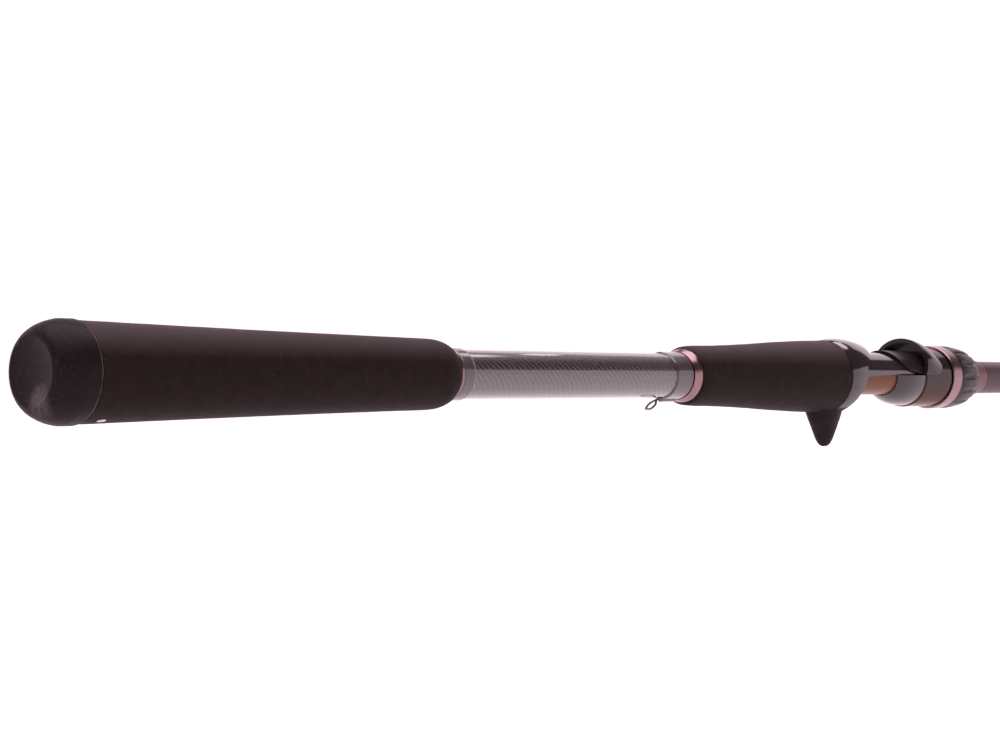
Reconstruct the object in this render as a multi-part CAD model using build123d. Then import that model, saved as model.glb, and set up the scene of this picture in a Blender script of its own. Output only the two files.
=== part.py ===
from build123d import *
import math
import os

# A one-piece casting rod: split foam handle, skeleton trigger reel seat with a screw-locked
# sliding hood, tapered carbon blank, eight line guides and a tip guide.
# Millimetres. The rod's axis is X, from the butt to the tip. +Z is the side that the reel and the
# guides are on, and the trigger hangs towards -Z. Stations along X are counted from a datum just
# behind the butt; every piece is written with the butt cap's land at X = 0.

# ---- driving dimensions ----
ROD_LENGTH = 1980.0
BUTT_LAND = 2.4
CAP_LENGTH = 15.0
CAP_RADIUS = 14.2
CAP_BAND_START = 10.5
GRIP_REAR_END = 156.0
REAR_CHECK_END = 157.6
REAR_WRAP_END = 163.2
KEEPER_WRAP_START = 268.2
SEAT_CHECK_START = 278.0
FORE_GRIP_START = 281.2
FORE_GRIP_END = 374.0
RIM = 383.6  # front rim of the fixed hood at the rod's axis
RIM_TOP = 391.2  # front rim of the fixed hood over the saddle
BELL_START = 418.4
BARREL_START = 433.2
HOOD_START = BARREL_START + 0.4
HOOD_END = 454.4
POCKET_END = HOOD_START + 6.0
NUT_START = HOOD_END + 0.3
NUT_RING_START = 455.2
NUT_RING_END = 462.2
BARREL_END = 477.0
RIDGE_START = 455.6  # start of the barrel's thread
NUT_END = 484.0
FRONT_CHECK_START = 484.5
FRONT_CHECK_END = 494.5
FRONT_WRAP_END = 560.0

BLANK_RADIUS = 7.3
SLEEVE_RADIUS = 7.95
SLEEVE_WALL = 0.6
SLEEVE_END = 365.0
SHANK_START = 284.0
SHANK_RADIUS = 10.2
SHANK_BORE = 8.6
WINDOW_BORE = 7.45
BARREL_BORE = 7.9
SADDLE_RADIUS = 9.9  # the reel foot's seat is a half cylinder of this radius
POCKET_DEPTH = 8.5
COLLAR_RADIUS = 15.2
COLLAR_WALL = 1.5
HOOD_RADIUS = 12.4
ARCH_WALL = 1.7
# (distance from the mouth, half width, half height, centre height) of the sliding hood's arch
ARCH_SECTIONS = (
    (0, 13.1, 11.5, 4.6),
    (4, 13.0, 11.3, 4.3),
    (11, 12.4, 11.4, 2.3),
    (17.5, 11.8, 11.6, 0.2),
)
HOOD_BEVEL = 0.9
LINER_START = 416.5
LINER_OUTER = 10.9
LINER_SIDE = 1.3  # height of the liner's lower edges above the rod's axis
NUT_RADIUS = 13.2
NUT_BORE = 10.45
NUT_FRONT_BORE = 7.95

THREAD_PITCH = 2.0
THREAD_ROOT = 9.6
THREAD_CREST = 10.3
THREAD_CLEARANCE = 0.15
KEY_WIDTH = 3.0

GUIDE_COUNT = 8
FIRST_SPACING = 90.0  # tip guide to the nearest guide
SPACING_GROWTH = 1.13
RING_SIZES = (16.0, 12.0, 10.0, 8.0, 7.0, 6.0, 6.0, 5.5)
TIP_RING = 5.5
DOUBLE_FOOT_GUIDES = 3
WRAP_THICKNESS = 0.4

BLANK_STATIONS = (  # (station, outer radius) where the blank's taper changes
    (CAP_LENGTH, BLANK_RADIUS),
    (BARREL_START, BLANK_RADIUS),
    (490.0, 6.6),
    (ROD_LENGTH, 1.05),
)
BLANK_WALLS = (1.3, 1.3, 1.2, 0.45)  # wall thickness at the same stations


# ---- helpers ----
def blank_radius(x):
    """Outer radius of the blank at a station."""
    for (x0, r0), (x1, r1) in zip(BLANK_STATIONS, BLANK_STATIONS[1:]):
        if x <= x1:
            return r0 + (r1 - r0) * (x - x0) / (x1 - x0)
    return BLANK_STATIONS[-1][1]


def turned(*points):
    """Solid of revolution about the rod's axis from (station, radius) corners."""
    return revolve(Polygon(*points, align=None), axis=Axis.X)


def turned_curve(curve, inner):
    """Solid of revolution under a smooth curve of (station, radius) points, down to the inner corners."""
    edge = Spline(*curve)
    closing = Polyline(curve[-1], *inner, curve[0])
    return revolve(make_face([edge, *closing.edges()]), axis=Axis.X)


def tube(start, end, outer, inner):
    """Straight tube about the rod's axis."""
    return turned((start, inner), (start, outer), (end, outer), (end, inner))


def disc(start, end, radius, lift=0.0):
    """Solid cylinder along X, with its centre lifted above the rod's axis."""
    return Pos(start, 0, lift) * extrude(Plane.YZ * Circle(radius), end - start)


def slab(x0, x1, z0, z1, half_width=30.0):
    """Box between two stations and two heights."""
    size = (x1 - x0, 2 * half_width, z1 - z0)
    return Pos((x0 + x1) / 2, 0, (z0 + z1) / 2) * Box(*size)


def strut(start, end, radius):
    """Round wire with ball ends between two points."""
    start, end = Vector(*start), Vector(*end)
    plane = Plane(origin=start, z_dir=end - start)
    wire = extrude(plane * Circle(radius), (end - start).length)
    return wire + Pos(start) * Sphere(radius) + Pos(end) * Sphere(radius)


def blank_core(start, end):
    """The blank's outside as a solid, between two stations."""
    corners = [(x, blank_radius(x)) for x, _ in BLANK_STATIONS if start < x < end]
    return turned((start, 0), (start, blank_radius(start)), *corners, (end, blank_radius(end)), (end, 0))


def over_blank(start, end, thickness, ends=0.8):
    """Band wound on the blank, with rounded-off ends."""
    top = [(start + ends, blank_radius(start) + thickness), (end - ends, blank_radius(end) + thickness)]
    foot = [(start, blank_radius(start) + thickness / 3), (end, blank_radius(end) + thickness / 3)]
    band = turned((start, 0), foot[0], *top, foot[1], (end, 0))
    return band - blank_core(start - 1, end + 1)


def screw_ridge(start, length, base_radius, tip_radius, base_half, tip_half):
    """Helical ridge about the rod's axis, right-handed, one turn per pitch."""
    path = Helix(THREAD_PITCH, length, base_radius, center=(start, 0, 0), direction=(1, 0, 0))
    foot = path @ 0
    outward = Vector(0, foot.Y, foot.Z).normalized()
    plane = Plane(origin=foot, x_dir=outward, z_dir=path % 0)
    rise = tip_radius - base_radius
    sink = -0.1 if rise > 0 else 0.1  # the ridge bites this far into its wall
    corners = ((sink, -base_half), (rise, -tip_half), (rise, tip_half), (sink, base_half))
    section = Polygon(*corners, align=None)
    return sweep(plane * section, path=path, is_frenet=True)


# ---- handle ----
def butt_cap():
    """Rubber cap: rounded shoulder, flat land, shallow dish, and a plug that fills the blank's bore."""
    land_inner, land_outer, dish_depth = 9.2, 10.0, 1.4
    plug_radius, plug_end = 5.95, 32.0
    dish_floor = BUTT_LAND + dish_depth
    dish_middle = (BUTT_LAND + 0.7 * dish_depth, 0.55 * land_inner)
    shoulder = Spline(
        (BUTT_LAND, land_outer), (3.2, 11.1), (5.0, 12.4), (7.8, 13.6), (CAP_BAND_START, CAP_RADIUS),
        tangents=((0, 1), (1, 0)),
    )
    outline = [
        ThreePointArc((dish_floor, 0), dish_middle, (BUTT_LAND, land_inner)),
        Line((BUTT_LAND, land_inner), (BUTT_LAND, land_outer)),
        shoulder,
        Line((CAP_BAND_START, CAP_RADIUS), (CAP_LENGTH, CAP_RADIUS)),
        Polyline(
            (CAP_LENGTH, CAP_RADIUS),
            (CAP_LENGTH, plug_radius),
            (plug_end - 1, plug_radius),
            (plug_end, 5.2),
            (plug_end, 0),
            (dish_floor, 0),
        ),
    ]
    return revolve(make_face([edge for piece in outline for edge in piece.edges()]), axis=Axis.X)


def rear_grip():
    """Foam rear grip, tapering to a rounded nose."""
    taper = [(CAP_LENGTH, 13.85), (60, 12.85), (105, 11.95), (147.5, 11.25)]
    nose = ThreePointArc(taper[-1], (153.2, 10.45), (GRIP_REAR_END, 9.0))
    bore = Polyline(
        (GRIP_REAR_END, 9.0),
        (GRIP_REAR_END, SLEEVE_RADIUS),
        (CAP_LENGTH, SLEEVE_RADIUS),
        taper[0],
    )
    return revolve(make_face([Spline(*taper), nose, *bore.edges()]), axis=Axis.X)


def fore_grip(trigger_room):
    """Foam grip over the reel seat's shank, swelling towards the trigger."""
    heel = ThreePointArc((FORE_GRIP_START, 9.7), (282.4, 10.55), (286.5, 11.0))
    swell = Spline(
        (286.5, 11.0), (303, 11.35), (320, 12.05), (338, 13.05), (356, 13.85), (FORE_GRIP_END, 14.35)
    )
    inside = Polyline(
        (FORE_GRIP_END, 14.35),
        (FORE_GRIP_END, SHANK_RADIUS),
        (SHANK_START, SHANK_RADIUS),
        (SHANK_START, SLEEVE_RADIUS),
        (FORE_GRIP_START, SLEEVE_RADIUS),
        (FORE_GRIP_START, 9.7),
    )
    return revolve(make_face([heel, swell, *inside.edges()]), axis=Axis.X) - trigger_room


def blank():
    """Tapered hollow carbon blank, from the butt cap to the tip guide."""
    outside = list(BLANK_STATIONS)
    inside = [(x, r - wall) for (x, r), wall in zip(BLANK_STATIONS, BLANK_WALLS)]
    return turned(*outside, *reversed(inside))


def trim_wrap(start, end, radius, rounding=0.7, inner=SLEEVE_RADIUS):
    """Thread band over the carbon sleeve, with rounded varnish ends."""
    low = SLEEVE_RADIUS + 0.12
    corners = [(start, low), (start + rounding, radius), (end - rounding, radius), (end, low)]
    return turned((start, inner), *corners, (end, inner))


# ---- hook keeper ----
KEEPER_ROOT = (266.2, 0.0, -8.7)
KEEPER_WIRE = 0.4


def keeper_foot(radius):
    """Straight part of the keeper's wire, along the sleeve."""
    return strut(KEEPER_ROOT, (276.0, 0, -8.4), radius)


def hook_keeper():
    """Bent wire loop under the blank: a flat foot under the thread and a stirrup leaning to the butt."""
    half = Spline(
        KEEPER_ROOT, (265.1, -0.9, -9.4), (263.9, -1.5, -10.3), (262.6, -1.4, -11.3), (261.4, 0.0, -11.95),
        tangents=((-0.8, -0.5, -0.5), (0, 1, 0)),
    )
    section = Plane(origin=half @ 0, z_dir=half % 0) * Circle(KEEPER_WIRE)
    side = sweep(section, path=half)
    return keeper_foot(KEEPER_WIRE) + side + mirror(side, about=Plane.XZ)


def keeper_wrap():
    """Thread band that holds the keeper's foot to the carbon sleeve, raised over the wire."""
    band = trim_wrap(KEEPER_WRAP_START, SEAT_CHECK_START, 8.5, inner=0)
    ridge = strut((KEEPER_WRAP_START + 0.5, 0, -8.15), (SEAT_CHECK_START - 1.4, 0, -8.1), 1.25)
    sleeve = disc(KEEPER_WRAP_START - 5, SEAT_CHECK_START + 5, SLEEVE_RADIUS)
    under_wire = slab(KEEPER_ROOT[0], 276.0, -8.4, -7.0, KEEPER_WIRE * 0.8)
    return band + ridge - keeper_foot(KEEPER_WIRE + 0.02) - under_wire - sleeve


# ---- reel seat ----
TRIGGER_SECTIONS = (  # height, centre station, half length, half width
    (-8.0, 374.6, 11.6, 6.6),
    (-14.0, 375.0, 9.7, 5.8),
    (-20.0, 375.2, 6.6, 4.4),
    (-24.5, 375.2, 4.1, 3.2),
    (-26.9, 375.2, 2.3, 1.9),
    (-27.6, 375.2, 0.8, 0.7),
)


def trigger(grow=0.0):
    """Finger trigger, lofted through flat ovals."""
    ovals = [Pos(x, 0, z) * Ellipse(a + grow, b + grow) for z, x, a, b in TRIGGER_SECTIONS]
    return loft(ovals)


def seat_body():
    """Moulded seat: shank, trigger, fixed hood, saddle, flared shoulder and threaded barrel."""
    shank = disc(SHANK_START, FORE_GRIP_END, SHANK_RADIUS)
    # The fixed hood is domed. Its rim overhangs the saddle at the top, runs back along the sides and
    # is cut away below the axis, where the finger goes.
    collar = turned_curve(
        [(FORE_GRIP_END, 14.35), (377.5, 15.0), (381.5, COLLAR_RADIUS), (386.5, 15.0), (RIM_TOP + 2, 14.0)],
        [(RIM_TOP + 2, 0), (FORE_GRIP_END, 0)],
    )
    rim = Spline(
        (RIM_TOP, 16), (RIM_TOP, 9.6), (387.6, 6.6), (384.7, 4.2), (RIM, 0), (382.4, -3.6), (377.0, -16)
    )
    rim_room = make_face([rim, *Polyline((377.0, -16), (400, -16), (400, 16), (RIM_TOP, 16)).edges()])
    collar -= extrude(Plane.XZ * rim_room, 20, both=True)
    saddle = disc(RIM - 2, BARREL_START, SADDLE_RADIUS)
    below = Polygon(
        (RIM - 3, -0.6), (RIM, -0.6), (BELL_START, 1.2), (440, 1.2), (440, -12), (RIM - 3, -12), align=None
    )
    saddle -= extrude(Plane.XZ * below, 20, both=True)
    shoulder = turned_curve(
        [(BELL_START, 7.8), (421.4, 9.6), (426.2, 11.2), (BARREL_START, 12.0)],
        [(BARREL_START, 0), (BELL_START, 0)],
    )
    shoulder &= slab(BELL_START - 1, BARREL_START, -20.0, 0.6)
    barrel = disc(BARREL_START - 1, BARREL_END, THREAD_ROOT)
    ridge = screw_ridge(RIDGE_START, BARREL_END - RIDGE_START - 1.5, THREAD_ROOT, THREAD_CREST, 0.6, 0.25)
    body = shank + collar + trigger() + saddle + shoulder + barrel + ridge
    pocket = turned(
        (RIM_TOP - POCKET_DEPTH, SADDLE_RADIUS), (RIM_TOP - POCKET_DEPTH, COLLAR_RADIUS - COLLAR_WALL),
        (RIM_TOP - 3, COLLAR_RADIUS - COLLAR_WALL), (RIM_TOP + 2, COLLAR_RADIUS - COLLAR_WALL - 0.7),
        (RIM_TOP + 2, SADDLE_RADIUS),
    )
    pocket &= slab(370, 400, 3.6, 20)
    keyway = slab(BARREL_START, BARREL_END, -20, -THREAD_ROOT + 0.9, KEY_WIDTH / 2)
    bore = disc(SHANK_START, SLEEVE_END + 1, SHANK_BORE) + disc(SLEEVE_END, BARREL_START, WINDOW_BORE)
    bore += disc(BARREL_START - 0.5, BARREL_END, BARREL_BORE)
    return body - pocket - keyway - bore


def hood_section(station, half_width, half_height, lift):
    """Oval cross-section of the sliding hood's arch."""
    return Pos(station, 0, lift) * (Plane.YZ * Ellipse(half_width, half_height))


def sliding_hood():
    """Hood that slides on the barrel: an arch over the reel foot, a ring and an inside key."""
    shell = loft([hood_section(HOOD_START + step, *oval) for step, *oval in ARCH_SECTIONS])
    shell += disc(HOOD_START, HOOD_END, HOOD_RADIUS)
    _, half_width, half_height, lift = ARCH_SECTIONS[0]
    room = hood_section(HOOD_START - 1, half_width - ARCH_WALL, half_height - ARCH_WALL, lift)
    pocket = extrude(room, POCKET_END - HOOD_START + 1, dir=(1, 0, 0)) & slab(430, POCKET_END, 4.2, 20)
    liner_bed = disc(HOOD_START - 1, POCKET_END, LINER_OUTER) & slab(430, POCKET_END, LINER_SIDE - 0.1, 20)
    bevel_end, outside = HOOD_START + HOOD_BEVEL, HOOD_RADIUS + 3
    bevel = turned(
        (HOOD_START, outside),
        (HOOD_START, HOOD_RADIUS - HOOD_BEVEL),
        (bevel_end, HOOD_RADIUS),
        (bevel_end, outside),
    )
    bevel &= slab(430, 440, -20, 0.5)
    key = slab(HOOD_START, HOOD_END, -11.0, -THREAD_ROOT + 0.75, KEY_WIDTH / 2 - 0.15)
    return shell - disc(HOOD_START - 1, HOOD_END + 1, NUT_BORE) - pocket - liner_bed - bevel + key


def hood_liner():
    """Tongue of the sliding hood: a half shell that the reel foot slides on, with a scooped end."""
    shell = tube(LINER_START, POCKET_END, LINER_OUTER, SADDLE_RADIUS + 0.05)
    shell &= slab(LINER_START, POCKET_END, LINER_SIDE, 20)
    scoop = Spline(
        (LINER_START - 1, 12.0),
        (LINER_START + 0.4, 9.6),
        (LINER_START + 3.0, 5.6),
        (LINER_START + 9.0, 2.6),
        (HOOD_START, 1.0),
    )
    corner = Polyline((HOOD_START, 1.0), (LINER_START - 1, 1.0), (LINER_START - 1, 12.0))
    return shell - extrude(Plane.XZ * make_face([scoop, *corner.edges()]), 20, both=True)


# ---- locking nut ----
def nut_core():
    """Threaded sleeve of the locking nut, half a pitch out of step with the barrel's ridge."""
    sleeve = disc(NUT_START, 475.0, 11.6)
    ridge_start = RIDGE_START + 0.5 * THREAD_PITCH
    ridge = screw_ridge(ridge_start, 17.0, NUT_BORE, THREAD_ROOT + THREAD_CLEARANCE, 0.6, 0.33)
    return sleeve - disc(NUT_START - 1, 476.0, NUT_BORE) + ridge


def nut_grip():
    """Fluted, tapering front shell of the locking nut."""
    sleeve_radius, sleeve_end, front_wall_start = 11.6, 475.0, 478.0
    shell = turned_curve(
        [
            (NUT_RING_END, 13.0), (467.5, NUT_RADIUS + 0.1), (473.5, 12.8), (478.5, 11.9), (482.0, 10.2),
            (NUT_END, 8.9),
        ],
        [
            (NUT_END, NUT_FRONT_BORE), (front_wall_start, NUT_FRONT_BORE), (front_wall_start, 10.5),
            (sleeve_end, 10.5), (sleeve_end, sleeve_radius), (NUT_RING_END, sleeve_radius),
        ],
    )
    flutes, flute_radius = 14, 1.9
    flute_start, flute_bend, flute_end = (465.5, 0, 14.6), (475.0, 0, 14.3), (484.5, 0, 11.0)
    groove = strut(flute_start, flute_bend, flute_radius) + strut(flute_bend, flute_end, flute_radius)
    for i in range(flutes):
        shell -= Rot(360 * (i + 0.5) / flutes, 0, 0) * groove
    return shell


# ---- line guides ----
def guide_stations():
    """Guide stations from the butt guide to the one nearest the tip."""
    from_tip, gap, stations = 0.0, FIRST_SPACING, []
    for _ in range(GUIDE_COUNT):
        from_tip += gap
        gap *= SPACING_GROWTH
        stations.append(ROD_LENGTH - from_tip)
    return stations[::-1]


def ring_height(size):
    """Height of a ring's centre above the blank's surface."""
    return 0.85 * size + 1.9


def ceramic_ring(size, station, height):
    """Polished ceramic insert with a rounded bore."""
    wall, half = 0.11 * size + 0.25, 0.05 * size + 0.65
    middle = size / 2 - wall / 2
    section = Pos(0, middle) * RectangleRounded(2 * half, wall, min(wall, 2 * half) * 0.45)
    return Pos(station, 0, height) * revolve(section, axis=Axis.X)


def guide_foot(station, direction, size, length):
    """One foot and the thread wound over it: two half-round tapers lying on the blank."""
    z = blank_radius(station + direction * length / 2) - 0.1
    thick = 0.035 * size + 0.65
    plane = Plane(origin=(station, 0, z), z_dir=(direction, 0, 0))
    foot = plane * Cone(thick, thick * 0.35, length, align=(Align.CENTER, Align.CENTER, Align.MIN))
    cover_start = Plane(origin=(station + direction * 0.18 * length, 0, z), z_dir=(direction, 0, 0))
    cover = Cone(
        thick * 0.9 + WRAP_THICKNESS, 0.5, length * 0.92, align=(Align.CENTER, Align.CENTER, Align.MIN)
    )
    return foot, cover_start * cover


def guide(station, size, feet):
    """Frame, ceramic ring and thread wraps of one guide."""
    surface = blank_radius(station)
    height = surface + ring_height(size)
    band_radius, band_half = size / 2 + 0.08 + 0.02 * size, 0.045 * size + 0.5
    ring = ceramic_ring(size, station, height)
    band = disc(station - band_half, station + band_half, band_radius + 0.35, height)
    band -= disc(station - band_half - 1, station + band_half + 1, size / 2, height)
    wire = 0.02 * size + 0.33
    foot_length, reach = 0.55 * size + 7.0, 0.45 * size + 1.6
    frame, wraps = band, None
    for direction in feet:
        foot_station = station + direction * reach
        foot, cover = guide_foot(foot_station, direction, size, foot_length)
        frame += foot
        for side in (-1, 1):
            spread = math.radians(62 if direction < 0 else 48)
            hip = (station, side * band_radius * math.sin(spread), height - band_radius * math.cos(spread))
            frame += strut(hip, (foot_station, side * 0.35, surface + 0.25), wire)
        wound_from = foot_station + direction * 0.2 * foot_length
        wound_to = foot_station + direction * (foot_length + 3)
        wound = over_blank(*sorted((wound_from, wound_to)), WRAP_THICKNESS) + cover
        wraps = wound if wraps is None else wraps + wound
    near = blank_core(station - 40, min(station + 40, ROD_LENGTH))
    hole = disc(station - 6, station + 6, size / 2, height)
    frame = frame - near - hole
    return frame, ring, wraps - near - frame


def tip_guide():
    """Tip guide: a tube that caps the blank, two braces, a ceramic ring and its thread."""
    start, end = ROD_LENGTH - 14.0, ROD_LENGTH + 1.5
    height, station = 4.6, ROD_LENGTH + 4.5
    band_radius = TIP_RING / 2 + 0.15
    tube_outer = blank_radius(start) + 0.45
    frame = turned(
        (start, 0), (start, tube_outer), (end - 1, tube_outer - 0.1), (end, tube_outer - 0.7), (end, 0)
    )
    band = disc(station - 0.7, station + 0.7, band_radius + 0.35, height)
    frame += band
    for side in (-1, 1):
        frame += strut((station, side * band_radius * 0.9, height - 0.9), (start + 6, side * 0.9, 0.9), 0.4)
        frame += strut((station, side * 0.5, height - band_radius - 0.1), (end - 1, side * 0.5, 0.4), 0.42)
    hole = disc(station - 5, station + 5, TIP_RING / 2, height)
    frame = frame - blank_core(start - 5, ROD_LENGTH) - hole
    return frame, ceramic_ring(TIP_RING, station, height), over_blank(start - 9, start, 0.35)


# ---- write every piece ----
def build():
    """All pieces by node name."""
    pieces = {
        "butt_cap": butt_cap(),
        "rear_grip": rear_grip(),
        "rear_winding_check": turned(
            (GRIP_REAR_END, SLEEVE_RADIUS),
            (GRIP_REAR_END, 9.0),
            (GRIP_REAR_END + 0.8, 9.0),
            (REAR_CHECK_END, 8.55),
            (REAR_CHECK_END, SLEEVE_RADIUS),
        ),
        "rear_trim_wrap": trim_wrap(REAR_CHECK_END, REAR_WRAP_END, 8.4),
        "butt_sleeve": tube(CAP_LENGTH, SLEEVE_END, SLEEVE_RADIUS, SLEEVE_RADIUS - SLEEVE_WALL),
        "blank": blank(),
        "hook_keeper": hook_keeper(),
        "keeper_wrap": keeper_wrap(),
        "seat_winding_check": turned(
            (SEAT_CHECK_START, SLEEVE_RADIUS), (SEAT_CHECK_START, 8.7), (FORE_GRIP_START - 1.0, 9.55),
            (FORE_GRIP_START, 9.7), (FORE_GRIP_START, SLEEVE_RADIUS),
        ),
        "fore_grip": fore_grip(trigger(0.05)),
        "seat_body": seat_body(),
        "seat_arbors": (
            tube(290, 312, SHANK_BORE, SLEEVE_RADIUS) + tube(338, 360, SHANK_BORE, SLEEVE_RADIUS)
        ),
        "barrel_arbor": disc(BARREL_START + 4, BARREL_END - 1, BARREL_BORE) - blank_core(400, 500),
        "sliding_hood": sliding_hood(),
        "hood_liner": hood_liner(),
        "nut_core": nut_core(),
        "nut_trim_ring": turned(
            (NUT_RING_START, 11.6),
            (NUT_RING_START, 13.0),
            (NUT_RING_START + 0.5, 13.35),
            (NUT_RING_END - 0.5, 13.35),
            (NUT_RING_END, 13.0),
            (NUT_RING_END, 11.6),
        ),
        "nut_grip": nut_grip(),
        "front_winding_check": turned(
            (FRONT_CHECK_START, 0),
            (FRONT_CHECK_START, 7.4),
            (FRONT_CHECK_END - 0.8, 7.4),
            (FRONT_CHECK_END, 7.1),
            (FRONT_CHECK_END, 0),
        ) - blank_core(400, 600),
        "front_wrap": over_blank(FRONT_CHECK_END, FRONT_WRAP_END, 0.4, 0.3),
        "front_wrap_band": over_blank(FRONT_WRAP_END, FRONT_WRAP_END + 4.0, 0.5, 0.3),
    }
    for i, (station, size) in enumerate(zip(guide_stations(), RING_SIZES), start=1):
        feet = (-1, 1) if i <= DOUBLE_FOOT_GUIDES else (1,)
        frame, ring, wraps = guide(station, size, feet)
        pieces |= {f"guide_{i}_frame": frame, f"guide_{i}_ring": ring, f"guide_{i}_wraps": wraps}
    frame, ring, wrap = tip_guide()
    pieces |= {"tip_guide_frame": frame, "tip_guide_ring": ring, "tip_guide_wrap": wrap}
    return pieces


os.makedirs("parts", exist_ok=True)
for node, shape in build().items():
    export_step(Pos(-BUTT_LAND, 0, 0) * shape, f"parts/{node}.step")
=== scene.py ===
import math

import bpy
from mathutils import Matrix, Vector, noise


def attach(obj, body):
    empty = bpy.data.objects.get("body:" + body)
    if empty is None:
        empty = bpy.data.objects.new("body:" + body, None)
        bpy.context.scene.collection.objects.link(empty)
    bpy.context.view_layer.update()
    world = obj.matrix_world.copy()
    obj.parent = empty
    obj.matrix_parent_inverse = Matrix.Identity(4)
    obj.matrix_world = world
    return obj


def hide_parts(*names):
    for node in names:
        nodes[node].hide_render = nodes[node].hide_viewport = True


# A casting rod in a white studio, seen past its butt. The scene is in metres, with X along the rod from
# butt to tip and +Z on the reel's side. Sizes below are in millimetres, and so are the coordinates that
# the materials use. Stations along the rod are counted from a datum behind the butt.

MM = 0.001
BUTT_LAND = 2.4  # station of the butt's land, which is X = 0
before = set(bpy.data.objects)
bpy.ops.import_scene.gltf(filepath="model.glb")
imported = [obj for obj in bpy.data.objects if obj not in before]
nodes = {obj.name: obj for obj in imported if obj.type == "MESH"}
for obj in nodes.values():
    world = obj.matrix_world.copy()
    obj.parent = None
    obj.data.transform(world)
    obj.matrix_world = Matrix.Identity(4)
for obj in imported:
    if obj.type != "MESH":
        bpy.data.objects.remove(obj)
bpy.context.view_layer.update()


# ---- shader helpers ----
def new_material(name, **sockets):
    """Material with a Principled shader, whose plain sockets are set directly."""
    material = bpy.data.materials.new(name)
    material.use_nodes = True
    tree = material.node_tree
    shader = tree.nodes["Principled BSDF"]
    for socket, value in sockets.items():
        shader.inputs[socket.replace("_", " ")].default_value = value
    return material, tree, shader


def add(tree, kind, **values):
    """Node of that kind, with its properties and its input defaults set by name."""
    node = tree.nodes.new(kind)
    for key, value in values.items():
        if hasattr(node, key):
            setattr(node, key, value)
        else:
            node.inputs[key.replace("_", " ")].default_value = value
    return node


def math_node(tree, operation, *values):
    """Math node whose inputs are numbers or output sockets."""
    node = tree.nodes.new("ShaderNodeMath")
    node.operation = operation
    for socket, value in zip(node.inputs, values):
        if isinstance(value, (int, float)):
            socket.default_value = value
        else:
            tree.links.new(value, socket)
    return node.outputs[0]


def coordinates(tree, scale=(1, 1, 1)):
    """Object coordinates in millimetres, stretched by scale."""
    where = add(tree, "ShaderNodeTexCoord")
    mapping = add(tree, "ShaderNodeMapping")
    mapping.inputs["Scale"].default_value = [s / MM for s in scale]
    tree.links.new(where.outputs["Object"], mapping.inputs["Vector"])
    return mapping.outputs["Vector"]


def axes(tree, vector):
    """The three components of a vector, as sockets."""
    split = add(tree, "ShaderNodeSeparateXYZ")
    tree.links.new(vector, split.inputs[0])
    return split.outputs


def cylinder_coordinates(tree, radius):
    """Length along the rod and arc length round it, both in millimetres, as two sockets."""
    x, y, z = axes(tree, coordinates(tree))
    return x, math_node(tree, "MULTIPLY", math_node(tree, "ARCTAN2", y, z), radius)


def offset_squared(tree, value, centre, reach):
    """Square of the distance from the centre, counted in reaches."""
    offset = math_node(tree, "SUBTRACT", value, centre)
    return math_node(tree, "POWER", math_node(tree, "DIVIDE", offset, reach), 2.0)


def noise_texture(tree, vector, scale, detail=4.0, roughness=0.6):
    """Noise between 0 and 1, with scale in features per millimetre."""
    node = add(tree, "ShaderNodeTexNoise", Scale=scale, Detail=detail, Roughness=roughness)
    tree.links.new(vector, node.inputs["Vector"])
    return node.outputs["Fac"]


def ramp(tree, factor, *stops):
    """Colour ramp over (position, colour) stops."""
    node = add(tree, "ShaderNodeValToRGB")
    elements = node.color_ramp.elements
    while len(elements) < len(stops):
        elements.new(0.5)
    for element, (position, colour) in zip(elements, stops):
        element.position = position
        element.color = (*colour, 1)
    tree.links.new(factor, node.inputs["Fac"])
    return node.outputs["Color"]


def grey(value):
    """Neutral colour of that level."""
    return (value, value, value)


def bump(tree, shader, height, strength, distance, coat=True):
    """Bump of that height socket, distance millimetres deep; the coat follows it unless coat is off."""
    node = add(tree, "ShaderNodeBump", Strength=strength, Distance=distance * MM)
    tree.links.new(height, node.inputs["Height"])
    tree.links.new(node.outputs["Normal"], shader.inputs["Normal"])
    if coat and shader.inputs["Coat Weight"].default_value > 0:
        tree.links.new(node.outputs["Normal"], shader.inputs["Coat Normal"])


def mix(tree, factor, a, b):
    """Colour mix; a and b are colours or sockets."""
    node = add(tree, "ShaderNodeMix", data_type="RGBA")
    tree.links.new(factor, node.inputs["Factor"])
    for socket, value in ((node.inputs[6], a), (node.inputs[7], b)):
        if isinstance(value, tuple):
            socket.default_value = (*value, 1)
        else:
            tree.links.new(value, socket)
    return node.outputs[2]


def soft_step(tree, value, start, end):
    """0 below start, 1 above end, smooth between."""
    node = add(tree, "ShaderNodeMapRange", interpolation_type="SMOOTHSTEP", From_Min=start, From_Max=end)
    tree.links.new(value, node.inputs["Value"])
    return node.outputs["Result"]


# ---- materials ----
WARM_BROWN = (0.062, 0.026, 0.014)  # painted warm reflection on the underside of the hood and of the violet thread
FOAM_RADIUS = 13.5  # rough radius of the grips, for the painted light on their upper side
CARBON_RADIUS = 7.95  # of the woven sleeve
TOW = 0.62  # width of one strand of the weave
TWILL_STEP = 4.0  # strands after which the weave repeats
FIBRES = 40.0  # fineness of the fibres in a strand
STRAND = 0.22  # width of one turn of thread
THREAD_REFLECTION_HEIGHTS = (1.0, -6.5)  # heights between which the thread turns to its painted warm reflection below
HOOD_REFLECTION_HEIGHTS = (-10.0, 3.0)  # heights between which the hood's painted warm reflection and painted shade below give way to its top
SHADED_SPECULAR = 0.04  # specular level of the hood's underside, lowered there as painted shade
SATIN = 0.06  # specular level of the trigger
TRIGGER_SATIN = (-13.0, -11.5)  # heights between which the trigger's satin turns to the seat's gloss
NICK = ((18.8, 1.6), (-4.7, 1.0))  # centre and reach of a pale scratch, along X and along Y
NICK_EDGE = 1.3  # the scratch ends where its squared distance and the noise add up to this
DISH_HIGHLIGHT = ((-3.0, 5.0), (-7.2, 5.0))  # centre and reach of a painted highlight in the cap's dish, along Y and Z
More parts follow.
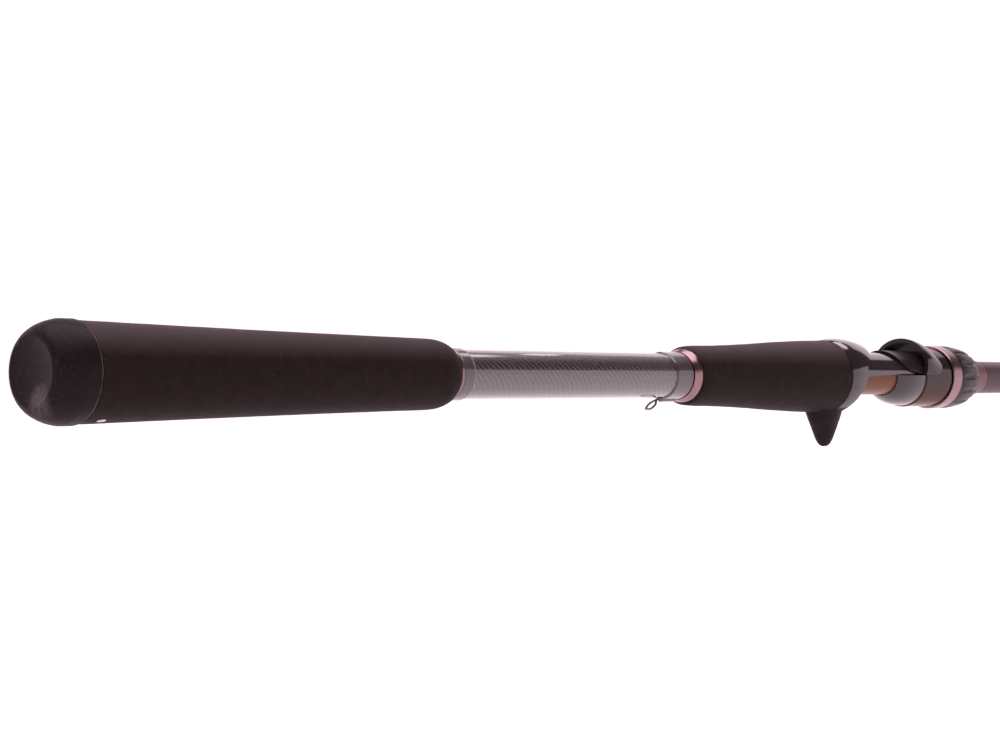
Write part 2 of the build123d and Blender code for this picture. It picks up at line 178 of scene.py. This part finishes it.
SCUFF_DEPTH = 12.0  # the cap's wear and the painted highlight in its dish fade over this length from the butt
CAP_RIM = 12.1  # X where the painted highlight on the cap's edge towards the grip begins


def nick(tree):
    """Mask of a pale scratch in the foam, low on the rear grip near the cap."""
    where = coordinates(tree)
    x, y, z = axes(tree, where)
    spread = [offset_squared(tree, value, *place) for value, place in zip((x, y), NICK)]
    ragged = noise_texture(tree, where, 1.5, 4.0)
    edge = math_node(tree, "ADD", math_node(tree, "ADD", *spread), ragged)
    below = math_node(tree, "LESS_THAN", z, 0.0)
    return math_node(tree, "MULTIPLY", math_node(tree, "LESS_THAN", edge, NICK_EDGE), below)


def foam():
    """Black EVA foam: warm, matt, with fine closed cells, painted light on top and a few pale flecks."""
    material, tree, shader = new_material("eva_foam", Roughness=0.6, Specular_IOR_Level=0.05)
    shader.inputs["Sheen Weight"].default_value = 0.02
    shader.inputs["Sheen Roughness"].default_value = 0.4
    where = coordinates(tree)
    mottle = noise_texture(tree, where, 0.25, 6.0, 0.7)
    base = ramp(tree, mottle, (0.3, (0.0105, 0.0064, 0.0056)), (0.7, (0.0180, 0.0116, 0.0104)))
    cells = add(tree, "ShaderNodeTexVoronoi", Scale=2.6)
    tree.links.new(where, cells.inputs["Vector"])
    fleck = add(tree, "ShaderNodeTexVoronoi", Scale=0.45)
    tree.links.new(where, fleck.inputs["Vector"])
    speck = ramp(tree, fleck.outputs["Distance"], (0.06, grey(1)), (0.11, grey(0)))
    dusty = ramp(tree, noise_texture(tree, where, 0.12, 3.0), (0.50, grey(0)), (0.62, grey(1)))
    speck = math_node(tree, "MULTIPLY", speck, dusty)
    # Painted light: the upper side is mixed towards a paler colour by height.
    upward = math_node(tree, "DIVIDE", axes(tree, where)["Z"], FOAM_RADIUS)
    painted_top_light = math_node(tree, "MULTIPLY", ramp(tree, upward, (0.30, grey(0)), (1.0, grey(1))), 0.8)
    base = mix(tree, painted_top_light, base, (0.072, 0.054, 0.054))
    speckled = mix(tree, speck, base, (0.060, 0.048, 0.048))
    tree.links.new(mix(tree, nick(tree), speckled, (0.62, 0.56, 0.56)), shader.inputs["Base Color"])
    rough = ramp(tree, noise_texture(tree, where, 1.2), (0.2, grey(0.50)), (0.8, grey(0.72)))
    tree.links.new(rough, shader.inputs["Roughness"])
    bump(tree, shader, cells.outputs["Distance"], 0.35, 0.06)
    return material


def rubber():
    """Moulded black rubber, scuffed near the butt, with a painted highlight in the dish and a painted
    highlight on the edge at the grip.
    """
    material, tree, shader = new_material("butt_rubber", Roughness=0.5, Specular_IOR_Level=0.09)
    where = coordinates(tree)
    x, y, z = axes(tree, where)
    scuff = ramp(tree, noise_texture(tree, where, 0.9, 8.0, 0.75), (0.52, grey(0)), (0.72, grey(1)))
    depth = math_node(tree, "DIVIDE", x, SCUFF_DEPTH)
    end = ramp(tree, depth, (0.05, grey(0.75)), (0.8, grey(0.05)))
    worn = math_node(tree, "MULTIPLY", scuff, end)
    base = mix(tree, worn, (0.0085, 0.0052, 0.0054), (0.036, 0.027, 0.030))
    # Painted highlight in the dish, broken up by noise.
    spread = [offset_squared(tree, value, *place) for value, place in zip((y, z), DISH_HIGHLIGHT)]
    highlight_falloff = ramp(tree, math_node(tree, "ADD", *spread), (0.0, grey(1)), (1.0, grey(0)))
    painted_dish_highlight = math_node(tree, "MULTIPLY", math_node(tree, "MULTIPLY", highlight_falloff, end), 0.9)
    highlight_breakup = ramp(tree, noise_texture(tree, where, 0.7, 6.0), (0.3, grey(0.3)), (0.6, grey(1)))
    base = mix(tree, math_node(tree, "MULTIPLY", painted_dish_highlight, highlight_breakup), base, (0.125, 0.098, 0.102))
    # Painted highlight on the edge at the grip, broken up by noise.
    past_rim = math_node(tree, "SUBTRACT", x, CAP_RIM)
    rim = ramp(tree, past_rim, (0.0, grey(0)), (0.25, grey(1)))
    rim_highlight_breakup = ramp(tree, noise_texture(tree, where, 0.25, 3.0), (0.40, grey(0.15)), (0.60, grey(1)))
    edge = math_node(tree, "MULTIPLY", rim, rim_highlight_breakup)
    tree.links.new(mix(tree, edge, base, (0.230, 0.180, 0.180)), shader.inputs["Base Color"])
    rough = ramp(tree, noise_texture(tree, where, 0.6), (0.2, grey(0.36)), (0.8, grey(0.55)))
    tree.links.new(rough, shader.inputs["Roughness"])
    bump(tree, shader, noise_texture(tree, where, 3.0, 6.0, 0.7), 0.25, 0.05)
    return material


def woven_carbon():
    """Two-by-two twill carbon under clear varnish."""
    material, tree, shader = new_material(
        "woven_carbon", Roughness=0.22, Coat_Weight=1.0, Coat_Roughness=0.03, Coat_IOR=1.66
    )
    along, around = cylinder_coordinates(tree, CARBON_RADIUS)
    u = math_node(tree, "DIVIDE", along, TOW)
    v = math_node(tree, "DIVIDE", around, TOW)
    step = math_node(tree, "ADD", math_node(tree, "FLOOR", u), math_node(tree, "FLOOR", v))
    phase = math_node(tree, "WRAP", step, TWILL_STEP, 0.0)
    over = math_node(tree, "GREATER_THAN", phase, 1.5)
    fibre = add(tree, "ShaderNodeMix")
    bulge = add(tree, "ShaderNodeMix")
    for socket, across in ((2, v), (3, u)):
        fine = math_node(tree, "SINE", math_node(tree, "MULTIPLY", across, FIBRES))
        tree.links.new(fine, fibre.inputs[socket])
        wave = math_node(tree, "SINE", math_node(tree, "MULTIPLY", across, math.pi))
        tree.links.new(math_node(tree, "ABSOLUTE", wave), bulge.inputs[socket])
    for node in (fibre, bulge):
        tree.links.new(over, node.inputs[0])
    shade = math_node(tree, "MULTIPLY_ADD", fibre.outputs[0], 0.10, 0.25)
    tint = mix(tree, over, (0.074, 0.056, 0.061), (0.010, 0.007, 0.008))
    tree.links.new(mix(tree, shade, tint, (0.040, 0.031, 0.035)), shader.inputs["Base Color"])
    bump(tree, shader, bulge.outputs[0], 0.35, 0.10, coat=False)
    return material


def amber_carbon():
    """Plain carbon blank under a tinted orange-brown varnish, with fine wrap lines."""
    material, tree, shader = new_material(
        "amber_carbon",
        Roughness=0.35,
        Coat_Weight=0.2,
        Coat_Roughness=0.05,
        Coat_IOR=1.45,
        Specular_IOR_Level=0.12,
    )
    where = coordinates(tree, (0.02, 1, 1))
    tone = ramp(
        tree,
        noise_texture(tree, where, 0.35, 5.0),
        (0.25, (0.080, 0.024, 0.007)),
        (0.55, (0.150, 0.046, 0.011)),
        (0.8, (0.260, 0.088, 0.016)),
    )
    tree.links.new(tone, shader.inputs["Base Color"])
    lines = add(tree, "ShaderNodeTexWave", Scale=0.55, Distortion=1.2, bands_direction="X")
    tree.links.new(coordinates(tree), lines.inputs["Vector"])
    bump(tree, shader, lines.outputs["Fac"], 0.06, 0.02)
    return material


def thread(name, dark, light, metal, coat, under=None):
    """Thread wound round the rod under glossy varnish: fine rings, with a painted warm reflection on its
    underside if a colour for it is given.
    """
    material, tree, shader = new_material(
        name, Roughness=0.42, Metallic=metal, Coat_Weight=coat, Coat_Roughness=0.06, Coat_IOR=1.55
    )
    x, _, z = axes(tree, coordinates(tree))
    turn = math_node(tree, "MULTIPLY", x, math.pi / STRAND)
    round_strand = math_node(tree, "ABSOLUTE", math_node(tree, "SINE", turn))
    wobble = noise_texture(tree, coordinates(tree, (1.5, 0.15, 0.15)), 0.9, 4.0)
    level = math_node(tree, "MULTIPLY", round_strand, wobble)
    colour = ramp(tree, level, (0.05, dark), (0.55, light))
    # The under colour is a painted warm reflection, mixed in on the underside.
    if under:
        shader.inputs["Specular IOR Level"].default_value = 0.2
        below = soft_step(tree, z, *THREAD_REFLECTION_HEIGHTS)
        colour = mix(tree, math_node(tree, "MULTIPLY", below, 0.8), colour, under)
    tree.links.new(colour, shader.inputs["Base Color"])
    bump(tree, shader, round_strand, 0.5, 0.05, coat=False)
    return material


def rose_metal(name, dark, light, roughness, metal):
    """Rose anodised aluminium, turned: faint rings and a soft gloss."""
    material, tree, shader = new_material(name, Metallic=metal, Roughness=roughness)
    fine = noise_texture(tree, coordinates(tree, (14, 0.3, 0.3)), 1.0, 3.0)
    tree.links.new(ramp(tree, fine, (0.3, dark), (0.7, light)), shader.inputs["Base Color"])
    rough = ramp(tree, fine, (0.2, grey(roughness * 0.8)), (0.8, grey(roughness * 1.25)))
    tree.links.new(rough, shader.inputs["Roughness"])
    bump(tree, shader, fine, 0.08, 0.02)
    return material


def seat_plastic(name, coat, specular):
    """Glossy black moulded plastic with a trace of orange peel.

    With a coat it is the seat's, satin on the trigger. Without, it is the hood's, with painted shade (a lower
    specular level) and a painted warm reflection below.
    """
    material, tree, shader = new_material(
        name, Roughness=0.10, Coat_Weight=coat, Coat_Roughness=0.03, Coat_IOR=1.6, Specular_IOR_Level=specular
    )
    where = coordinates(tree)
    height = axes(tree, where)["Z"]
    patches = noise_texture(tree, where, 0.12)
    tone = ramp(tree, patches, (0.3, (0.012, 0.008, 0.009)), (0.7, (0.021, 0.015, 0.016)))
    rough = ramp(tree, noise_texture(tree, where, 0.7, 6.0), (0.3, grey(0.08)), (0.75, grey(0.16)))
    if coat > 0:
        gloss = soft_step(tree, height, *TRIGGER_SATIN)
        rough = mix(tree, gloss, grey(0.48), rough)
        tree.links.new(math_node(tree, "MULTIPLY", gloss, coat), shader.inputs["Coat Weight"])
        level = math_node(tree, "MULTIPLY_ADD", gloss, specular, SATIN)
    else:
        # Painted warm reflection and painted shade on the underside of the hood.
        upper = soft_step(tree, height, *HOOD_REFLECTION_HEIGHTS)
        tone = mix(tree, upper, WARM_BROWN, tone)
        level = math_node(tree, "MULTIPLY_ADD", upper, specular - SHADED_SPECULAR, SHADED_SPECULAR)
    tree.links.new(tone, shader.inputs["Base Color"])
    tree.links.new(level, shader.inputs["Specular IOR Level"])
    tree.links.new(rough, shader.inputs["Roughness"])
    bump(tree, shader, noise_texture(tree, where, 0.25, 2.0), 0.10, 0.06)
    return material


def nut_plastic():
    """Satin charcoal grip of the nut, with a fine moulded grain."""
    material, tree, shader = new_material("nut_satin", Roughness=0.34, Specular_IOR_Level=0.2)
    where = coordinates(tree)
    patches = noise_texture(tree, where, 0.5)
    tone = ramp(tree, patches, (0.3, (0.012, 0.008, 0.0075)), (0.7, (0.026, 0.018, 0.0165)))
    tree.links.new(tone, shader.inputs["Base Color"])
    bump(tree, shader, noise_texture(tree, where, 4.0, 4.0), 0.2, 0.05)
    return material


def liner_plastic():
    """Dark satin plastic of the hood's liner, brushed along the rod."""
    material, tree, shader = new_material("liner_dark", Roughness=0.30, Specular_IOR_Level=0.2)
    fine = noise_texture(tree, coordinates(tree, (0.4, 6, 6)), 1.0, 3.0)
    tone = ramp(tree, fine, (0.3, (0.012, 0.009, 0.009)), (0.7, (0.022, 0.017, 0.017)))
    tree.links.new(tone, shader.inputs["Base Color"])
    bump(tree, shader, fine, 0.06, 0.02)
    return material


def dark_steel():
    """Smoked chrome of the guide frames and the hook keeper."""
    material, tree, shader = new_material("smoked_steel", Metallic=1.0, Roughness=0.16)
    fine = noise_texture(tree, coordinates(tree), 1.6, 5.0)
    tree.links.new(ramp(tree, fine, (0.3, grey(0.20)), (0.7, grey(0.30))), shader.inputs["Base Color"])
    rough = ramp(tree, fine, (0.2, grey(0.10)), (0.8, grey(0.24)))
    tree.links.new(rough, shader.inputs["Roughness"])
    return material


def ceramic():
    """Polished dark ceramic of the guide rings."""
    material, tree, shader = new_material(
        "ring_ceramic", Roughness=0.08, Coat_Weight=0.7, Coat_Roughness=0.03
    )
    fine = noise_texture(tree, coordinates(tree), 2.0, 5.0)
    tone = ramp(tree, fine, (0.3, (0.030, 0.032, 0.040)), (0.7, (0.055, 0.057, 0.068)))
    tree.links.new(tone, shader.inputs["Base Color"])
    return material


def arbor_foam():
    """Pale rigid foam of the hidden arbors."""
    material, tree, shader = new_material("arbor_foam", Roughness=0.8)
    fine = noise_texture(tree, coordinates(tree), 1.4, 6.0)
    tone = ramp(tree, fine, (0.3, (0.52, 0.47, 0.36)), (0.7, (0.66, 0.61, 0.49)))
    tree.links.new(tone, shader.inputs["Base Color"])
    bump(tree, shader, fine, 0.3, 0.1)
    return material


FOAM = foam()
RUBBER = rubber()
CARBON = woven_carbon()
AMBER = amber_carbon()
BLACK_THREAD = thread("black_thread", (0.012, 0.009, 0.010), (0.050, 0.038, 0.042), 0.1, 1.0)
VIOLET_THREAD = thread(
    "violet_thread", (0.026, 0.013, 0.020), (0.084, 0.042, 0.062), 0.30, 0.10, under=WARM_BROWN
)
ROSE = rose_metal("rose_metal", (0.215, 0.140, 0.145), (0.325, 0.215, 0.220), 0.24, 1.0)
ROSE_DARK = rose_metal("rose_satin", (0.115, 0.058, 0.058), (0.190, 0.105, 0.100), 0.42, 0.45)
SEAT = seat_plastic("seat_gloss", 0.6, 0.3)
HOOD = seat_plastic("hood_gloss", 0.0, 0.24)
NUT = nut_plastic()
LINER = liner_plastic()
STEEL = dark_steel()
CERAMIC = ceramic()
ARBOR = arbor_foam()

FINISHES = {
    "butt_cap": RUBBER,
    "rear_grip": FOAM,
    "fore_grip": FOAM,
    "rear_winding_check": ROSE,
    "seat_winding_check": ROSE,
    "front_winding_check": ROSE_DARK,
    "nut_trim_ring": ROSE,
    "rear_trim_wrap": BLACK_THREAD,
    "keeper_wrap": BLACK_THREAD,
    "butt_sleeve": CARBON,
    "blank": AMBER,
    "hook_keeper": STEEL,
    "seat_body": SEAT,
    "sliding_hood": HOOD,
    "hood_liner": LINER,
    "nut_core": SEAT,
    "nut_grip": NUT,
    "seat_arbors": ARBOR,
    "barrel_arbor": ARBOR,
}


def finish_of(node):
    """Material of a CAD node by its name."""
    if node in FINISHES:
        return FINISHES[node]
    if node.endswith("_ring"):
        return CERAMIC
    if node.endswith("_frame"):
        return STEEL
    return VIOLET_THREAD


for name, node in nodes.items():
    node.data.materials.clear()
    node.data.materials.append(finish_of(name))


# ---- turned soft parts, a hair inside the CAD solids that they replace ----
SLEEVE_RADIUS, SHANK_RADIUS = 7.97, 10.22  # bores of the grips
CAP_EDGE, PLUG_RADIUS, PLUG_END = 14.98, 5.93, 31.9
GRIP_EDGE, GRIP_NOSE = 15.02, 155.95
FORE_HEEL, SHANK_START, FORE_EDGE = 281.25, 283.9, 373.95
SKIN_RADIUS = 8.9  # below this radius the foam is a bore or an end and has no relief
CAP_SEGMENTS, GRIP_SEGMENTS = 192, 176


def catmull_rom(a, b, c, d, t):
    """Value between b and c, at t from 0 to 1, with a and d as the neighbours."""
    slope = (c - a) * t
    square = (2 * a - 5 * b + 4 * c - d) * t * t
    cube = (3 * b - a - 3 * c + d) * t ** 3
    return 0.5 * (2 * b + slope + square + cube)


def curve_through(points, step):
    """Catmull-Rom curve through (station, radius) points, sampled about every step millimetres."""
    ends = [points[0]] + list(points) + [points[-1]]
    samples = []
    for p0, p1, p2, p3 in zip(ends, ends[1:], ends[2:], ends[3:]):
        count = max(2, round(math.dist(p1, p2) / step))
        for i in range(count):
            t = i / count
            samples.append(tuple(catmull_rom(*values, t) for values in zip(p0, p1, p2, p3)))
    return samples + [points[-1]]


def corners(points, step):
    """Straight runs between (station, radius) corners, sampled about every step millimetres."""
    samples = []
    for (x0, r0), (x1, r1) in zip(points, points[1:]):
        count = max(1, round(math.dist((x0, r0), (x1, r1)) / step))
        samples += [(x0 + (x1 - x0) * i / count, r0 + (r1 - r0) * i / count) for i in range(count)]
    return samples + [points[-1]]


def lathe(name, outline, segments, relief, closed_ring):
    """Closed mesh turned about the rod's axis; relief pares the skin away in millimetres.

    The outline runs round the section. With closed_ring it is a ring with a bore; without, its two
    ends lie on the axis.
    """
    vertices, faces = [], []
    body_rings = outline if closed_ring else outline[1:-1]
    for x, r in body_rings:
        for k in range(segments):
            angle = 2 * math.pi * k / segments
            y, z = math.sin(angle), math.cos(angle)
            cut = relief(x, r, y, z)
            vertices.append(((x - BUTT_LAND) * MM, (r - cut) * y * MM, (r - cut) * z * MM))
    rings = len(body_rings)
    for i in range(rings if closed_ring else rings - 1):
        low, high = i * segments, (i + 1) % rings * segments
        for k in range(segments):
            n = (k + 1) % segments
            faces.append((low + k, low + n, high + n, high + k))
    if not closed_ring:
        for (x, _), ring, flip in ((outline[0], 0, True), (outline[-1], rings - 1, False)):
            pole, start = len(vertices), ring * segments
            vertices.append(((x - BUTT_LAND) * MM, 0, 0))
            for k in range(segments):
                n = (k + 1) % segments
                faces.append((pole, start + n, start + k) if flip else (pole, start + k, start + n))
    mesh = bpy.data.meshes.new(name)
    mesh.from_pydata(vertices, [], faces)
    mesh.update()
    mesh.polygons.foreach_set("use_smooth", [True] * len(mesh.polygons))
    piece = bpy.data.objects.new(name, mesh)
    bpy.context.scene.collection.objects.link(piece)
    return piece


def pits(spot, rate, threshold):
    """Sparse hollows, where noise of that rate per millimetre passes the threshold."""
    return max(0.0, noise.noise(spot * rate) - threshold)


def foam_relief(x, r, y, z):
    """Sanding waves and open cells of the foam's skin."""
    if r < SKIN_RADIUS:
        return 0.0
    spot = Vector((x, r * y, r * z))
    waves = 0.5 + 0.5 * noise.noise(spot * 0.16)
    return 0.10 * waves + 0.10 * pits(spot, 1.1, 0.25)


def rubber_relief(x, r, y, z):
    """Soft dents of the moulded cap."""
    if x > CAP_EDGE + 0.5 or r < 0.5:
        return 0.0
    spot = Vector((x, r * y, r * z))
    return 0.03 + 0.03 * noise.noise(spot * 0.35) + 0.05 * pits(spot, 1.3, 0.35)


def cap_outline():
    """Section of the butt cap: dish, land, domed shoulder, band, rolled edge and plug."""
    dish = curve_through([(3.8, 0.0), (3.72, 2.5), (3.4, 5.2), (2.9, 7.6), (2.5, 9.0)], 0.45)
    lip = curve_through([(2.5, 9.0), (2.4, 9.3), (2.42, 9.7), (2.6, 10.15)], 0.15)
    dome = curve_through([(2.6, 10.15), (3.2, 11.05), (5.0, 12.4), (7.8, 13.58), (10.5, 14.18)], 0.4)
    band = corners([(10.5, 14.18), (14.4, 14.2)], 0.6)
    edge = curve_through([(14.4, 14.2), (14.75, 14.1), (14.93, 13.85), (CAP_EDGE, 13.5)], 0.15)
    plug = corners(
        [
            (CAP_EDGE, 13.5),
            (CAP_EDGE, PLUG_RADIUS),
            (PLUG_END - 1, PLUG_RADIUS),
            (PLUG_END, 5.2),
            (PLUG_END, 0.0),
        ],
        1.5,
    )
    return dish[:-1] + lip[:-1] + dome[:-1] + band[:-1] + edge[:-1] + plug


def rear_grip_outline():
    """Section of the rear grip, with a rolled edge at the cap and a rounded nose."""
    edge = curve_through([(GRIP_EDGE, 12.9), (15.1, 13.5), (15.5, 13.8), (16.3, 13.84)], 0.15)
    taper = curve_through([(16.3, 13.84), (60, 12.85), (105, 11.95), (147.5, 11.25)], 0.7)
    nose = curve_through(
        [(147.5, 11.25), (150.9, 11.0), (153.6, 10.35), (155.3, 9.55), (GRIP_NOSE, 8.7)], 0.35
    )
    bore = corners(
        [(GRIP_NOSE, 8.7), (GRIP_NOSE, SLEEVE_RADIUS), (GRIP_EDGE, SLEEVE_RADIUS), (GRIP_EDGE, 12.9)], 2.5
    )
    return edge[:-1] + taper[:-1] + nose[:-1] + bore[:-1]


def fore_grip_outline():
    """Section of the fore grip: rounded heel, swell and a rolled edge at the fixed hood."""
    heel = curve_through([(FORE_HEEL, 9.3), (281.6, 10.0), (282.9, 10.65), (286.5, 11.0)], 0.3)
    swell = curve_through(
        [(286.5, 11.0), (303, 11.35), (320, 12.05), (338, 13.05), (356, 13.85), (373.4, 14.3)], 0.6
    )
    edge = curve_through([(373.4, 14.3), (373.8, 14.2), (FORE_EDGE, 13.9)], 0.15)
    inside = corners(
        [
            (FORE_EDGE, 13.9),
            (FORE_EDGE, SHANK_RADIUS),
            (SHANK_START, SHANK_RADIUS),
            (SHANK_START, SLEEVE_RADIUS),
            (FORE_HEEL, SLEEVE_RADIUS),
            (FORE_HEEL, 9.3),
        ],
        2.0,
    )
    return heel[:-1] + swell[:-1] + edge[:-1] + inside[:-1]


TRIGGER_ROOM = (  # height, centre station, half length and half width of the trigger's root
    (-6.0, 374.5, 12.3, 6.95),
    (-8.0, 374.6, 11.7, 6.7),
    (-14.0, 375.0, 9.8, 5.9),
    (-20.0, 375.2, 6.7, 4.5),
)


def cut_trigger_room(piece):
    """Cuts the trigger's flat oval root out of the fore grip."""
    count = 48
    vertices, faces = [], []
    for z, x, a, b in TRIGGER_ROOM:
        for k in range(count):
            angle = 2 * math.pi * k / count
            station = x + a * math.cos(angle)
            vertices.append(((station - BUTT_LAND) * MM, b * math.sin(angle) * MM, z * MM))
    for level in range(len(TRIGGER_ROOM) - 1):
        for k in range(count):
            n = (k + 1) % count
            low, high = level * count, (level + 1) * count
            faces.append((low + k, high + k, high + n, low + n))
    faces.append(tuple(range(count)))
    faces.append(tuple(reversed(range(len(vertices) - count, len(vertices)))))
    mesh = bpy.data.meshes.new("trigger_room")
    mesh.from_pydata(vertices, [], faces)
    cutter = bpy.data.objects.new("trigger_room", mesh)
    bpy.context.scene.collection.objects.link(cutter)
    modifier = piece.modifiers.new("room", "BOOLEAN")
    modifier.operation = "DIFFERENCE"
    modifier.object = cutter
    modifier.solver = "EXACT"
    graph = bpy.context.evaluated_depsgraph_get()
    result = bpy.data.meshes.new_from_object(piece.evaluated_get(graph))
    piece.modifiers.remove(modifier)
    piece.data = result
    bpy.data.objects.remove(cutter)


def soft_part(name, node, outline, segments, relief, closed_ring, material):
    """Turned mesh that takes the place of a CAD node on the rod."""
    piece = lathe(name, outline, segments, relief, closed_ring)
    piece.data.materials.append(material)
    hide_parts(node)
    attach(piece, "rod")
    return piece


soft_part(
    "butt_cap_rubber", "butt_cap", cap_outline(), CAP_SEGMENTS, rubber_relief, False, RUBBER
)
soft_part(
    "rear_grip_foam", "rear_grip", rear_grip_outline(), GRIP_SEGMENTS, foam_relief, True, FOAM
)
fore_grip = soft_part(
    "fore_grip_foam", "fore_grip", fore_grip_outline(), GRIP_SEGMENTS, foam_relief, True, FOAM
)
cut_trigger_room(fore_grip)


# ---- studio ----
# Heights and places here are parts of a sight line's unit vector, so a height is the sine of an elevation.
NEAR_TOP = 0.25  # height where the white surround ends on the camera's side
FAR_TOP = 0.56  # and behind the rod, where the backdrop stands higher
BACKDROP = (-0.14, 0.0)  # Y between which the one turns into the other
WALL_EDGE = (-0.01, 0.02)  # softness of the surround's top
CEILING_EDGE = (0.76, 0.84)  # heights between which the overhead soft box begins
LAMPS = (  # small soft boxes: (centre, reach) along X and along Y
    ((0.660, 0.088), (0.08, 0.24)),
    ((0.7565, 0.007), (0.26, 0.06)),
)
LAMP_EDGE = (1.0, 0.8)  # squared distances, in reaches, between which a lamp comes on
WHITE, DIM = (1.24, 1.03, 1.13), (0.085, 0.066, 0.068)
CEILING, LAMP = (3.3, 2.75, 3.0), (3.4, 2.9, 3.1)
FLOOR_HEIGHT, FLOOR_REACH = -0.22, 40.0  # metres


def room_light():
    """White surround with a dim upper part, a soft box overhead and two small ones."""
    world = bpy.data.worlds.new("white_room")
    bpy.context.scene.world = world
    world.use_nodes = True
    tree = world.node_tree
    x, y, height = axes(tree, add(tree, "ShaderNodeTexCoord").outputs["Generated"])
    behind = soft_step(tree, y, *BACKDROP)
    top = math_node(tree, "MULTIPLY_ADD", behind, FAR_TOP - NEAR_TOP, NEAR_TOP)
    dim = soft_step(tree, math_node(tree, "SUBTRACT", height, top), *WALL_EDGE)
    room = mix(tree, soft_step(tree, height, *CEILING_EDGE), mix(tree, dim, WHITE, DIM), CEILING)
    above = math_node(tree, "GREATER_THAN", height, 0.0)
    for lamp in LAMPS:
        spread = [offset_squared(tree, value, *place) for value, place in zip((x, y), lamp)]
        lit = soft_step(tree, math_node(tree, "ADD", *spread), *LAMP_EDGE)
        room = mix(tree, math_node(tree, "MULTIPLY", lit, above), room, LAMP)
    tree.links.new(room, tree.nodes["Background"].inputs["Color"])


def floor():
    """Plain pale floor, wide enough to reach the horizon."""
    mesh = bpy.data.meshes.new("floor")
    sides = ((-1, -1), (1, -1), (1, 1), (-1, 1))
    mesh.from_pydata([(x * FLOOR_REACH, y * FLOOR_REACH, FLOOR_HEIGHT) for x, y in sides], [], [(0, 1, 2, 3)])
    sheet = bpy.data.objects.new("floor", mesh)
    bpy.context.scene.collection.objects.link(sheet)
    material, tree, shader = new_material("floor_white", Roughness=0.9)
    pale = noise_texture(tree, coordinates(tree), 0.002)
    tree.links.new(ramp(tree, pale, (0.3, grey(0.90)), (0.7, grey(0.93))), shader.inputs["Base Color"])
    mesh.materials.append(material)


room_light()
floor()


# ---- camera ----
CAMERA_PLACE = (-0.3024, -0.435, -0.0033)  # metres, behind the butt and to its right-hand side
CAMERA_HEADING, CAMERA_PITCH = 41.99, 0.21  # degrees from the rod's axis and above level
CAMERA_LENS, CAMERA_SENSOR = 72, 36  # millimetres


def camera():
    """Nearly level long lens that looks along the handle."""
    data = bpy.data.cameras.new("camera")
    data.lens = CAMERA_LENS
    data.sensor_width = CAMERA_SENSOR
    data.clip_start = 0.01
    data.clip_end = 200
    viewer = bpy.data.objects.new("camera", data)
    viewer.location = CAMERA_PLACE
    heading, pitch = math.radians(CAMERA_HEADING), math.radians(CAMERA_PITCH)
    aim = Vector((math.cos(heading) * math.cos(pitch), math.sin(heading) * math.cos(pitch), math.sin(pitch)))
    viewer.rotation_euler = aim.to_track_quat("-Z", "Y").to_euler()
    bpy.context.scene.collection.objects.link(viewer)
    bpy.context.scene.camera = viewer


camera()
bpy.context.scene.view_settings.view_transform = "Standard"
